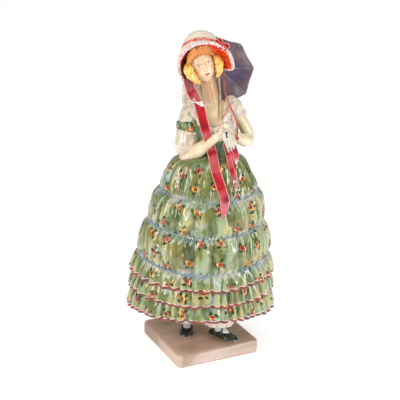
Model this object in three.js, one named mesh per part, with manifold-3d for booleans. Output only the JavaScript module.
// Porcelain lady in a tiered crinoline, with bonnet and parasol, on a square plinth.
// Millimetres, +Z up, origin at the centre of the plinth's underside, the plinth's front faces -Y.
import * as THREE from 'three';
import { mergeVertices } from 'three/addons/utils/BufferGeometryUtils.js';
import Module from 'manifold-3d';

const wasm = await Module();
wasm.setup();

// Driving dimensions
const PLINTH_SIDE = 65;
const PLINTH_HEIGHT = 10.8;
const PLINTH_ARRIS = 1.8;
const GLAZE_GAP = 0.3; // luted joints between separately moulded pieces
const FIGURE_TURN = -26.5; // degrees the lady stands turned from square on her plinth

// The lady's own frame: x to her left, y to her back, z up, axis over the plinth's centre.
const GROUND = 9.5; // height of the plinth's top in her frame
const SOLE = GROUND + GLAZE_GAP;
const SKIRT_FLUTES = 34;
const SKIRT_DEPTH = 0.86; // front-to-back size over width
const WAIST = { x: 5.8, y: 0, z: 147, wide: 12.3, deep: 10.2 };
const HEAD = { at: [-3, -1.4, 209], wide: 8.8, deep: 10.4, tall: 12.2 };
const HEAD_TURN = 13;
const HEAD_LEAN = -20;
const HEAD_LIFT = -8;
const RIBBON_WIDTH = 6.6;
const RIBBON_THICKNESS = 2;
const CANOPY_RADIUS = 24.6;
const CANOPY_DEPTH = 9.5;
const CANOPY_WALL = 2.2;
const CANOPY_RIBS = 8;
const CANOPY_HUB = [8.9, 26.4, 201.2];
const RIB_START = THREE.MathUtils.degToRad(7.6);
const STICK_RADIUS = 0.95;
const STICK_END = [11.3, -22, 169.6];

const TAU = Math.PI * 2;
const radians = THREE.MathUtils.degToRad;
const vec = (p) => new THREE.Vector3(...p);
const mix = THREE.MathUtils.lerp;
const smooth = THREE.MathUtils.smoothstep;

// Solids: every shape ends as one closed mesh with shared corners.
function closed(geometry) {
  geometry.deleteAttribute('normal');
  geometry.deleteAttribute('uv');
  return mergeVertices(geometry, 1e-3);
}

function toSolid(geometry) {
  const mesh = closed(geometry);
  const build = (flip) => {
    const triVerts = new Uint32Array(mesh.index.array);
    if (flip) triVerts.reverse();
    const vertProperties = new Float32Array(mesh.attributes.position.array);
    return new wasm.Manifold(new wasm.Mesh({ numProp: 3, vertProperties, triVerts }));
  };
  const solid = build(false);
  return solid.volume() < 0 ? build(true) : solid;
}

function toGeometry(solid) {
  const { vertProperties, triVerts } = solid.getMesh();
  const geometry = new THREE.BufferGeometry();
  geometry.setAttribute('position', new THREE.BufferAttribute(new Float32Array(vertProperties), 3));
  geometry.setIndex(new THREE.BufferAttribute(new Uint32Array(triVerts), 1));
  geometry.computeVertexNormals();
  return geometry;
}

const join = (solids) => solids.reduce((whole, solid) => whole.add(solid));

// A closed drum whose wall points are placed by angle and by height from 0 to 1.
function drum(sides, rows, place) {
  const geometry = new THREE.CylinderGeometry(1, 1, 1, sides, rows);
  const at = geometry.attributes.position;
  for (let i = 0; i < at.count; i++) {
    const out = Math.hypot(at.getX(i), at.getZ(i)) > 0.5 ? 1 : 0;
    const step = Math.round((Math.atan2(at.getZ(i), at.getX(i)) / TAU) * sides + sides) % sides;
    const row = Math.round((at.getY(i) + 0.5) * rows);
    at.setXYZ(i, ...place((step / sides) * TAU, row / rows, out));
  }
  return toSolid(geometry);
}

// A turned shell whose rings are placed by angle; rings start and end on the axis.
function turned(rings, segments, place) {
  const profile = rings.map((_, i) => new THREE.Vector2(i === 0 || i === rings.length - 1 ? 0 : 1, i));
  const geometry = new THREE.LatheGeometry(profile, segments);
  const at = geometry.attributes.position;
  for (let i = 0; i < at.count; i++) {
    const step = Math.floor(i / rings.length) % segments;
    at.setXYZ(i, ...place((step / segments) * TAU, rings[i % rings.length]));
  }
  return toSolid(geometry);
}

// A limb, bag or ribbon along a smooth line; knots are [x, y, z, half width, half depth].
function sweep(knots, { sides = 10, rows = 6, flat = false, facing = [0, -1, 0.3] } = {}) {
  const line = new THREE.CatmullRomCurve3(knots.map((k) => vec(k)), false, 'centripetal');
  const size = new THREE.CatmullRomCurve3(knots.map((k) => vec([k[3], k[4] ?? k[3], 0])));
  const face = vec(facing).normalize();
  return drum(sides, rows, (angle, t, out) => {
    const centre = line.getPoint(t);
    const tangent = line.getTangent(t);
    const across = new THREE.Vector3().crossVectors(tangent, face).normalize();
    const deep = new THREE.Vector3().crossVectors(across, tangent).normalize();
    const half = size.getPoint(t);
    const way = flat ? angle + TAU / 8 : angle;
    const u = flat ? Math.sign(Math.cos(way)) : Math.cos(way);
    const v = flat ? Math.sign(Math.sin(way)) : Math.sin(way);
    return centre.addScaledVector(across, out * half.x * u).addScaledVector(deep, out * half.y * v);
  });
}

function ball(at, radii, { turn = [0, 0, 0], across = 10, down = 6 } = {}) {
  const geometry = new THREE.SphereGeometry(1, across, down);
  geometry.scale(...radii);
  geometry.applyMatrix4(new THREE.Matrix4().makeRotationFromEuler(new THREE.Euler(...turn.map(radians))));
  geometry.translate(...at);
  return toSolid(geometry);
}

// A goffered frill: a ring of cloth round a line, waved at its free end.
function frill(from, to, inner, outer, waves, wave = 0.8) {
  const start = vec(from);
  const axis = vec(to).sub(start);
  const across = new THREE.Vector3().crossVectors(axis, vec([0, 1, 0.2])).normalize();
  const deep = new THREE.Vector3().crossVectors(across, axis).normalize();
  return drum(waves * 2, 1, (angle, t, out) => {
    const radius = (mix(inner, outer, t) + Math.cos(angle * waves) * wave * t) * out;
    return start.clone()
      .addScaledVector(axis, t)
      .addScaledVector(across, radius * Math.cos(angle))
      .addScaledVector(deep, radius * Math.sin(angle));
  });
}

// Skirt, from the waist to the hem and back up its hollow underside. Each ring is
// [half width, height at the front, rise at the sides, flute depth]. The first three
// tiers are bags gathered into a seam, the last three hang to free painted edges.
const SKIRT_RINGS = [
  [0, 151, 0, 0],
  [24, 142.5, 0, 1.2],
  [31, 131, 1, 2.0],
  [34.6, 120.6, 3, 1.4],
  [34, 118, 3.5, 0.4],
  [38.6, 115.4, 3.5, 1.2],
  [41.8, 108, 3.6, 1.8],
  [42.4, 99, 4, 1.5],
  [40.8, 94.6, 4.4, 0.5],
  [45, 90, 4.6, 1.3],
  [48, 80.5, 4.9, 1.8],
  [48.2, 73, 5.4, 1.5],
  [46.6, 69.2, 5.8, 0.5],
  [50.8, 65, 4.4, 1.4],
  [53, 59, 2.4, 1.8],
  [50.6, 58.2, 2.4, 1.2],
  [53.6, 47.6, 1.5, 1.8],
  [51.2, 46.9, 1.5, 1.2],
  [54.6, 37, -2.5, 1.8],
  [52, 36.6, -2.5, 1.2],
  [40, 47, -1, 0],
  [0, 51, 0, 0],
];
const HIP_RINGS = SKIRT_RINGS.slice(1, 16);
const SKIRT_LEAN = [[147, 5.8], [118, 4], [94, 2.5], [68, 1], [58, 0.2], [36, 0]];

function skirtShift(z) {
  for (let i = 1; i < SKIRT_LEAN.length; i++) {
    const [high, from] = SKIRT_LEAN[i - 1];
    const [low, to] = SKIRT_LEAN[i];
    if (z >= low) return mix(to, from, Math.min(1, (z - low) / (high - low)));
  }
  return 0;
}

// Gathers are never even: flutes crowd and open a little round the skirt.
const flutePlace = (angle) => angle + 0.05 * Math.sin(3 * angle + 1) + 0.025 * Math.sin(7 * angle + 2);

function skirtPoint(angle, [half, front, rise, depth]) {
  const way = flutePlace(angle);
  const upper = smooth(front, 117, 121);
  const fine = Math.cos(SKIRT_FLUTES * angle);
  const broad = Math.cos((SKIRT_FLUTES / 2) * angle + 0.09 * (147 - front));
  const uneven = 0.75 + 0.25 * Math.sin(5 * angle + front * 0.05);
  const flute = mix(fine, broad, upper) * depth * uneven;
  const radius = half > 0 ? half - depth * 0.6 + flute * 0.6 : 0;
  const facing = Math.max(0, -Math.sin(way)) ** 2;
  const z = front + rise * (1 - facing) - flute * 0.2;
  return [skirtShift(front) + radius * Math.cos(way), radius * SKIRT_DEPTH * Math.sin(way), z];
}

const skirt = () => turned(SKIRT_RINGS, SKIRT_FLUTES * 2, skirtPoint);

// Depth of the skirt's outer face at a place on its front, for what lies on it.
function skirtFront(x, z) {
  let half = WAIST.wide;
  for (let i = 1; i < HIP_RINGS.length; i++) {
    const [above, below] = [HIP_RINGS[i - 1], HIP_RINGS[i]];
    if (z <= above[1] && z >= below[1]) {
      half = mix(below[0], above[0], (z - below[1]) / (above[1] - below[1]));
    }
  }
  const across = (x - skirtShift(z)) / half;
  return -half * SKIRT_DEPTH * Math.sqrt(Math.max(0, 1 - across * across));
}

// Legs: goffered pantalettes, stockinged ankles and flat slippers.
const LEFT_LEG = { x: 13.6, y: -8.4, heel: [6.8, -5], toe: [27.6, -19] };
const RIGHT_LEG = { x: -9.8, y: -2.4, heel: [-9.4, 8], toe: [-9.8, -15.6] };

function pantalette({ x, y }) {
  const waves = 9;
  return drum(waves * 2, 2, (angle, t, out) => {
    const fall = 1 - t;
    const wave = Math.cos(angle * waves) * fall;
    const radius = (mix(7.4, 10.4, fall ** 2) + wave) * out;
    return [x + radius * Math.cos(angle), y + radius * 0.86 * Math.sin(angle), mix(54, 19, fall) + wave * 0.5];
  });
}

function slipper({ heel, toe }) {
  const length = Math.hypot(toe[0] - heel[0], toe[1] - heel[1]);
  const along = [(toe[0] - heel[0]) / length, (toe[1] - heel[1]) / length];
  return drum(10, 6, (angle, t, out) => {
    const round = Math.sqrt(Math.max(0.12, 1 - Math.abs(2 * t - 1) ** 3));
    const half = mix(3.9, 5.3, smooth(t, 0.2, 0.75)) * round;
    const instep = mix(6.4, 4.2, smooth(t, 0.15, 0.8)) * Math.max(0.6, round);
    const side = Math.cos(angle) * half * out;
    const lift = Math.sin(angle) < -0.3 || !out ? 0 : Math.max(0, Math.sin(angle) * 0.62 + 0.38) * instep;
    const run = t * length;
    return [
      heel[0] + along[0] * run + along[1] * side,
      heel[1] + along[1] * run - along[0] * side,
      SOLE + lift,
    ];
  });
}

function ankle({ x, y, heel, toe }) {
  const foot = [mix(heel[0], toe[0], 0.36), mix(heel[1], toe[1], 0.36)];
  return sweep([
    [x, y, 24, 4.2],
    [mix(x, foot[0], 0.6), mix(y, foot[1], 0.6), 18, 3.5],
    [foot[0], foot[1], 11.5, 3.6],
  ], { sides: 8, rows: 2, facing: [0, -1, 0] });
}

// Bodice, bust, shoulders and neck in one rise.
function torso() {
  return sweep([
    [WAIST.x, WAIST.y, 138, 11, 9.5],
    [WAIST.x, WAIST.y, WAIST.z, WAIST.wide, WAIST.deep],
    [6, -0.6, 155, 14.2, 10.6],
    [6.4, -1.2, 163, 17.2, 12.2],
    [5.4, -1.2, 170, 16.4, 12.8],
    [4.8, 0.8, 176.5, 15.2, 11],
    [5, 2, 180.6, 14.6, 8],
    [4.8, 1, 183.8, 9, 6.8],
    [4.2, -0.4, 187, 6.9, 6.5],
    [3, -1.6, 193, 6.5, 6.2],
    [1, -2.6, 199, 6.4, 6.2],
  ], { sides: 12, rows: 10 });
}

// Right sleeve: a bell puff, a band, a second puff and an elbow frill; then the bare forearm.
function rightArm() {
  return join([
    sweep([
      [-5, 2.4, 185.4, 3.6],
      [-7.4, 1.4, 181, 6],
      [-9, -0.4, 174, 8],
      [-9.8, -1.2, 168, 8.8],
      [-10, -1.6, 164.6, 7.8],
    ], { sides: 12, rows: 4 }),
    frill([-9.8, -1.2, 168], [-10.1, -1.8, 162.6], 8.4, 9.2, 8, 0.2),
    sweep([
      [-10, -1.8, 164.6, 7.6],
      [-10.8, -2.6, 160, 9],
      [-11.4, -3.2, 153, 9.4],
      [-11, -3.8, 147, 7.6],
      [-10.4, -4.4, 143.8, 4.6],
    ], { sides: 12, rows: 4 }),
    frill([-11, -4, 149.6], [-10.2, -5.6, 142.6], 6.8, 7.8, 8, 0.7),
    sweep([
      [-11.6, -4.6, 147.6, 4.6],
      [-9, -6.6, 147.4, 5.9],
      [-4, -10.6, 150.8, 5.3],
      [1.4, -14, 156.2, 4.1],
      [7.2, -17, 161.2, 3.3],
      [12, -19, 165.2, 2.8],
    ], { sides: 8, rows: 6 }),
  ]);
}

// Left sleeve: a short blown puff with a frill, then the bare arm folded back to the hand.
function leftArm() {
  return join([
    sweep([
      [12.6, 1.6, 184.6, 4],
      [16.6, 2, 182.4, 5.6],
      [20, 2.8, 178.4, 5.8],
      [22, 3.4, 175, 4.4],
    ], { sides: 10, rows: 3 }),
    frill([19.8, 2.8, 179], [22.6, 3.8, 173.8], 5, 6.6, 8, 0.6),
    sweep([
      [20.4, 3, 178, 4.2],
      [25.4, 4.6, 169.4, 4.2],
      [30.2, 5.8, 160.4, 4.4],
      [32, 5.6, 156, 4],
    ], { sides: 8, rows: 3 }),
    sweep([
      [33, 6.6, 155.2, 3.8],
      [29.6, 0.2, 155.6, 4.6],
      [24.8, -6.4, 158.8, 4.1],
      [20, -12, 162.4, 3.3],
      [16.6, -15.6, 165.2, 2.7],
    ], { sides: 8, rows: 5 }),
  ]);
}

// Hands: the left is closed on the stick, the gloved right lies over it with its fingers down.
function hands() {
  const fingers = [-1.5, -0.5, 0.5, 1.5].map((place) => {
    const spread = place * 1.8;
    return sweep([
      [15.4 + spread * 0.7, -20.4 - spread * 0.1, 161.6 + spread * 0.65, 1.4],
      [19.2 + spread * 0.55, -21.2, 157.8 + spread * 0.6, 1.35],
      [21.2 + spread * 0.45, -20.4, 154 + spread * 0.6, 0.9],
    ], { sides: 6, rows: 3 });
  });
  return join([
    ball([13.8, -17.4, 169], [4.3, 3.8, 4.8]),
    frill([14.2, -19.4, 163.6], [11, -18.6, 164.6], 3, 5, 7, 0.5),
    sweep([
      [11.6, -18.8, 164.6, 2.9, 2.5],
      [14, -19.8, 163.6, 3.8, 2.6],
      [16.8, -20.8, 161.2, 4.3, 2.6],
      [18.6, -20.8, 158.8, 3.8, 2.2],
    ], { sides: 8, rows: 3 }),
    ...fingers,
  ]);
}

// Head: an egg with brow, eye hollows, nose, lips and chin, calm and regular.
const headPose = new THREE.Matrix4().makeTranslation(...HEAD.at)
  .multiply(new THREE.Matrix4().makeRotationZ(radians(HEAD_TURN)))
  .multiply(new THREE.Matrix4().makeRotationY(radians(HEAD_LEAN)))
  .multiply(new THREE.Matrix4().makeRotationX(radians(HEAD_LIFT)));

const onHead = (p) => vec(p).applyMatrix4(headPose);

const bump = (x, z, atX, atZ, wide, tall) => Math.exp(-(((x - atX) / wide) ** 2) - ((z - atZ) / tall) ** 2);

// Relief of the face over the egg, by place across and up in halves of the head.
function faceRelief(x, z) {
  const s = Math.abs(x);
  return 0.95 * bump(x, z, 0, -0.27, 0.15, 0.1)
    + 0.5 * bump(x, z, 0, -0.08, 0.12, 0.2)
    - 0.55 * bump(s, z, 0.36, 0.06, 0.2, 0.11)
    + 0.22 * bump(s, z, 0.3, 0.25, 0.26, 0.1)
    + 0.35 * bump(x, z, 0, -0.5, 0.2, 0.07)
    - 0.3 * bump(x, z, 0, -0.64, 0.24, 0.06)
    + 0.45 * bump(x, z, 0, -0.8, 0.24, 0.12)
    + 0.3 * bump(s, z, 0.5, -0.25, 0.24, 0.2);
}

function face() {
  const geometry = new THREE.SphereGeometry(1, 22, 16);
  const at = geometry.attributes.position;
  for (let i = 0; i < at.count; i++) {
    const [x, y, z] = [at.getX(i), at.getY(i), at.getZ(i)];
    const jaw = 1 - 0.3 * smooth(-z, 0.1, 1);
    const back = y > 0 ? 0.8 : 0.9 - 0.06 * smooth(-z, 0.3, 1);
    const forward = y < 0 ? faceRelief(x, z) * -y : 0;
    const p = onHead([x * HEAD.wide * jaw, y * HEAD.deep * back - forward, z * HEAD.tall]);
    at.setXYZ(i, p.x, p.y, p.z);
  }
  return toSolid(geometry);
}

// A curl of hair: a fat bent lock, thick in the middle.
function lock(from, to, bend, thick) {
  const knots = [0, 0.33, 0.67, 1].map((t) => {
    const arc = Math.sin(Math.PI * t);
    const p = onHead(from.map((v, axis) => mix(v, to[axis], t) + bend[axis] * arc));
    return [p.x, p.y, p.z, thick * (0.15 + 0.85 * arc)];
  });
  return sweep(knots, { sides: 6, rows: 4 });
}

// Hair: a swept fringe, a stack of curls beside each cheek and a full mass behind the neck.
function hair() {
  const locks = [];
  for (const u of [-1, -0.5, 0, 0.5, 1]) {
    const drop = Math.abs(u);
    locks.push(lock([u * 3 + 1.5, -5.6, 10.6], [u * 9, -8.4 + drop * 3, 5 - drop * 4], [u, -2.4, 1.4], 2.6));
  }
  for (const side of [-1, 1]) {
    for (const step of [0, 1, 2]) {
      const drop = 2.4 - step * 3.9;
      const from = [side * 9.4, -5.6 + step, drop];
      const to = [side * (9.2 - step * 0.4), -3.4 + step, drop - 5];
      locks.push(lock(from, to, [side * 1.8, -1.4, 0], 3.1 - step * 0.15));
    }
  }
  const mass = onHead([0, 3.2, -0.5]);
  locks.push(ball(mass.toArray(), [9.8, 9, 12.4], { turn: [0, HEAD_LEAN, 0], across: 12, down: 7 }));
  return join(locks);
}

// Curtain of the bonnet, gathered behind the neck and down to the right shoulder.
function curtain() {
  return sweep([
    [-7.6, 3, 206, 6.6, 3],
    [-7.4, 4.4, 197, 6.8, 2.6],
    [-6.4, 4.6, 189, 7.6, 2.6],
    [-5.6, 3.6, 182, 8, 2.4],
  ], { sides: 8, rows: 3 });
}

// Bonnet: rings from inside the crown over the bell brim and the band to the top of the crown.
// Each ring is [centre, opening direction, radius, share of the brim's cut-out].
const CHIN_WAY = vec([0.26, 0, -0.97]);
const RIM_WAY = [0.02, -0.93, -0.37];
const BAND_WAY = [0.08, -0.66, -0.75];
const BONNET_HEART = [-2.6, 1, 211];
const BONNET_RINGS = [
  [BONNET_HEART, BAND_WAY, 0, 0],
  [BONNET_HEART, BAND_WAY, 10.2, 0],
  [[-0.6, -4, 208.6], RIM_WAY, 15.8, 0.9],
  [[0.2, -8.4, 207.6], RIM_WAY, 17, 1],
  [[0.3, -9.4, 207.6], RIM_WAY, 18.7, 1],
  [[0, -6.4, 208], [0.03, -0.9, -0.42], 19.8, 1],
  [[-1, -2, 209.6], [0.05, -0.84, -0.54], 19, 0.7],
  [[-3.2, 2.2, 213], BAND_WAY, 14, 0],
  [[-3.6, 4.6, 216.4], BAND_WAY, 13.6, 0],
  [[-4, 7.6, 220.4], BAND_WAY, 12.7, 0],
  [[-4.2, 10.6, 224.6], BAND_WAY, 9.8, 0],
  [[-4.3, 12.4, 227], BAND_WAY, 5.2, 0],
  [[-4.4, 13.2, 228.1], BAND_WAY, 0, 0],
];
const BRIM_GAP = 58; // half angle, from the nape, where the brim dies away
const BRIM_FADE = 14;
const NAPE_REACH = 9.6;

function bonnetPoint(angle, [centre, way, radius, cut]) {
  const out = vec(way).normalize();
  const down = CHIN_WAY.clone().addScaledVector(out, -CHIN_WAY.dot(out)).normalize();
  const across = new THREE.Vector3().crossVectors(out, down);
  const off = Math.abs(((angle + Math.PI) % TAU) - Math.PI);
  const kept = smooth(off, radians(BRIM_GAP - BRIM_FADE), radians(BRIM_GAP + BRIM_FADE));
  const held = mix(1, kept, cut);
  const reach = mix(Math.min(radius, NAPE_REACH), radius, held);
  return vec(centre)
    .lerp(vec(BONNET_HEART), (1 - held) * cut)
    .addScaledVector(down, Math.cos(angle) * reach)
    .addScaledVector(across, Math.sin(angle) * reach);
}

const bonnet = () => turned(BONNET_RINGS, 24, bonnetPoint);

// Bow at the side of the brim: two loops and a knot.
function bow() {
  const small = { across: 6, down: 4 };
  return join([
    ball([11.4, -12.4, 221.8], [1.9, 1.5, 1.9], small),
    ball([9.2, -11.6, 223.6], [2.6, 1.3, 1.7], { turn: [0, 30, 0], ...small }),
    ball([14, -12, 219.8], [2.7, 1.3, 1.6], { turn: [0, 45, 0], ...small }),
  ]);
}

// A bonnet string or sash end; a place with no depth of its own lies on the skirt.
function ribbon(places, rows, width = RIBBON_WIDTH) {
  const knots = places.map(([x, y, z, scale = 1]) => {
    const depth = y ?? skirtFront(x, z) - RIBBON_THICKNESS * 0.1;
    return [x, depth, z, (width / 2) * scale, RIBBON_THICKNESS / 2];
  });
  return sweep(knots, { sides: 4, rows, flat: true });
}

function ribbons() {
  return join([
    ribbon([
      [-12.2, -7.6, 198.6, 0.8], [-8.6, -11.6, 192], [-5.6, -13.4, 186.4], [-2, -14.6, 177.4],
      [1.4, -15, 166], [4.4, -13.6, 155.6], [6, -15, 149], [8.2, null, 140.2],
      [12.2, null, 129.4], [14.8, null, 120.6], [14.6, null, 114.4, 0.7], [13.6, null, 109.6, 0.12],
    ], 18),
    ribbon([
      [11.4, -3.4, 207], [12.6, -4.6, 200], [13.4, -5.6, 192], [17, -9.8, 182.4], [21, -12, 174.4], [22.6, -14.6, 166.4],
      [21.2, -17.6, 160], [20.8, -18.8, 154.6],
    ], 9, 3),
    ribbon([
      [14.6, -18.6, 159.6, 0.9], [17, -20, 151.4], [19.4, null, 141, 1.1],
      [22, null, 132, 0.8], [22.6, null, 126.6, 0.2],
    ], 7, 5),
    ribbon([
      [20, -18.6, 156.6, 0.9], [21.8, -19.4, 150.6], [21.4, -18.6, 145, 0.3],
    ], 3, 5),
  ]);
}

// Frill round the neckline, from shoulder to shoulder over the bust.
function neckline() {
  const knots = [
    [-8.6, -4.6, 184], [-4, -11, 178.6], [1.6, -13.6, 173], [6.4, -14.4, 170],
    [10.6, -13.6, 172.6], [14, -11, 178], [18, -6.6, 182],
  ];
  return sweep(knots.map((knot) => [...knot, 2.2, 1.2]), { sides: 6, rows: 8 });
}

// Parasol: eight gores drawn to points at the ribs, hollow towards her, and a stick from the
// ferrule through the hub to her hands.
const canopyAxis = vec([0.02, -0.997, 0]).normalize(); // from the hub towards the open side
const canopyUp = vec([0, 0, 1]);
const canopySide = new THREE.Vector3().crossVectors(canopyUp, canopyAxis);

function canopyPoint(angle, share, inner, grow) {
  const gore = TAU / CANOPY_RIBS;
  const off = ((((angle - RIB_START) % gore) + gore) % gore) / gore;
  const between = Math.sin(Math.PI * off);
  const reach = (CANOPY_RADIUS + grow) * share * (1 - 0.115 * between);
  return vec(CANOPY_HUB)
    .addScaledVector(canopyAxis, CANOPY_DEPTH * share ** 2 + inner)
    .addScaledVector(canopyUp, Math.sin(angle) * reach)
    .addScaledVector(canopySide, Math.cos(angle) * reach);
}

function canopy(grow) {
  const shares = [0, 0.35, 0.7, 1];
  const outward = shares.map((share) => [share, -grow]);
  const inward = [[1, CANOPY_WALL * 0.5 + grow]];
  for (const share of [0.7, 0.35, 0]) inward.push([share, CANOPY_WALL + grow]);
  return turned([...outward, ...inward], CANOPY_RIBS * 2, (angle, [share, inner]) => (
    canopyPoint(angle + RIB_START, share, inner, grow)
  ));
}

function stick(grow) {
  const hub = vec(CANOPY_HUB);
  const end = vec(STICK_END);
  const way = end.clone().sub(hub).normalize();
  const ferrule = hub.clone().addScaledVector(way, -4 - grow);
  end.addScaledVector(way, grow);
  const radius = STICK_RADIUS + grow;
  const knots = [ferrule, hub, end].map((p, i) => [p.x, p.y, p.z, i ? radius : radius * 0.8]);
  return sweep(knots, { sides: 8, rows: 3, facing: [1, 0, 0] });
}

const parasol = (grow) => join([canopy(grow), stick(grow)]);

function plinth() {
  const half = PLINTH_SIDE / 2 - PLINTH_ARRIS;
  const outline = new THREE.Shape();
  outline.moveTo(-half, -half);
  outline.lineTo(half, -half);
  outline.lineTo(half, half);
  outline.lineTo(-half, half);
  outline.closePath();
  const geometry = new THREE.ExtrudeGeometry(outline, {
    depth: PLINTH_HEIGHT - PLINTH_ARRIS * 2,
    bevelThickness: PLINTH_ARRIS,
    bevelSize: PLINTH_ARRIS,
    bevelSegments: 3,
  });
  geometry.translate(0, 0, PLINTH_ARRIS);
  return toSolid(geometry);
}

// All of the lady is one solid, hollowed where the parasol's stick and canopy lie against her.
function lady() {
  const legs = [LEFT_LEG, RIGHT_LEG].flatMap((leg) => [pantalette(leg), ankle(leg), slipper(leg)]);
  return join([
    skirt(), torso(), rightArm(), leftArm(), hands(), face(), hair(), curtain(),
    bonnet(), bow(), ribbons(), neckline(), ...legs,
  ]).subtract(parasol(GLAZE_GAP));
}

function glazed(name, solid, color, roughness) {
  const material = new THREE.MeshStandardMaterial({ color, roughness, metalness: 0 });
  const mesh = new THREE.Mesh(toGeometry(solid), material);
  mesh.name = name;
  return mesh;
}

const figure = new THREE.Group();
figure.rotation.z = radians(FIGURE_TURN);
figure.position.z = PLINTH_HEIGHT - GROUND;
figure.add(glazed('lady', lady(), 0xb9c49a, 0.18));
figure.add(glazed('parasol', parasol(0), 0x7d7088, 0.2));

const part = new THREE.Group();
part.add(glazed('plinth', plinth(), 0xc9b3a6, 0.25));
part.add(figure);

export default part;
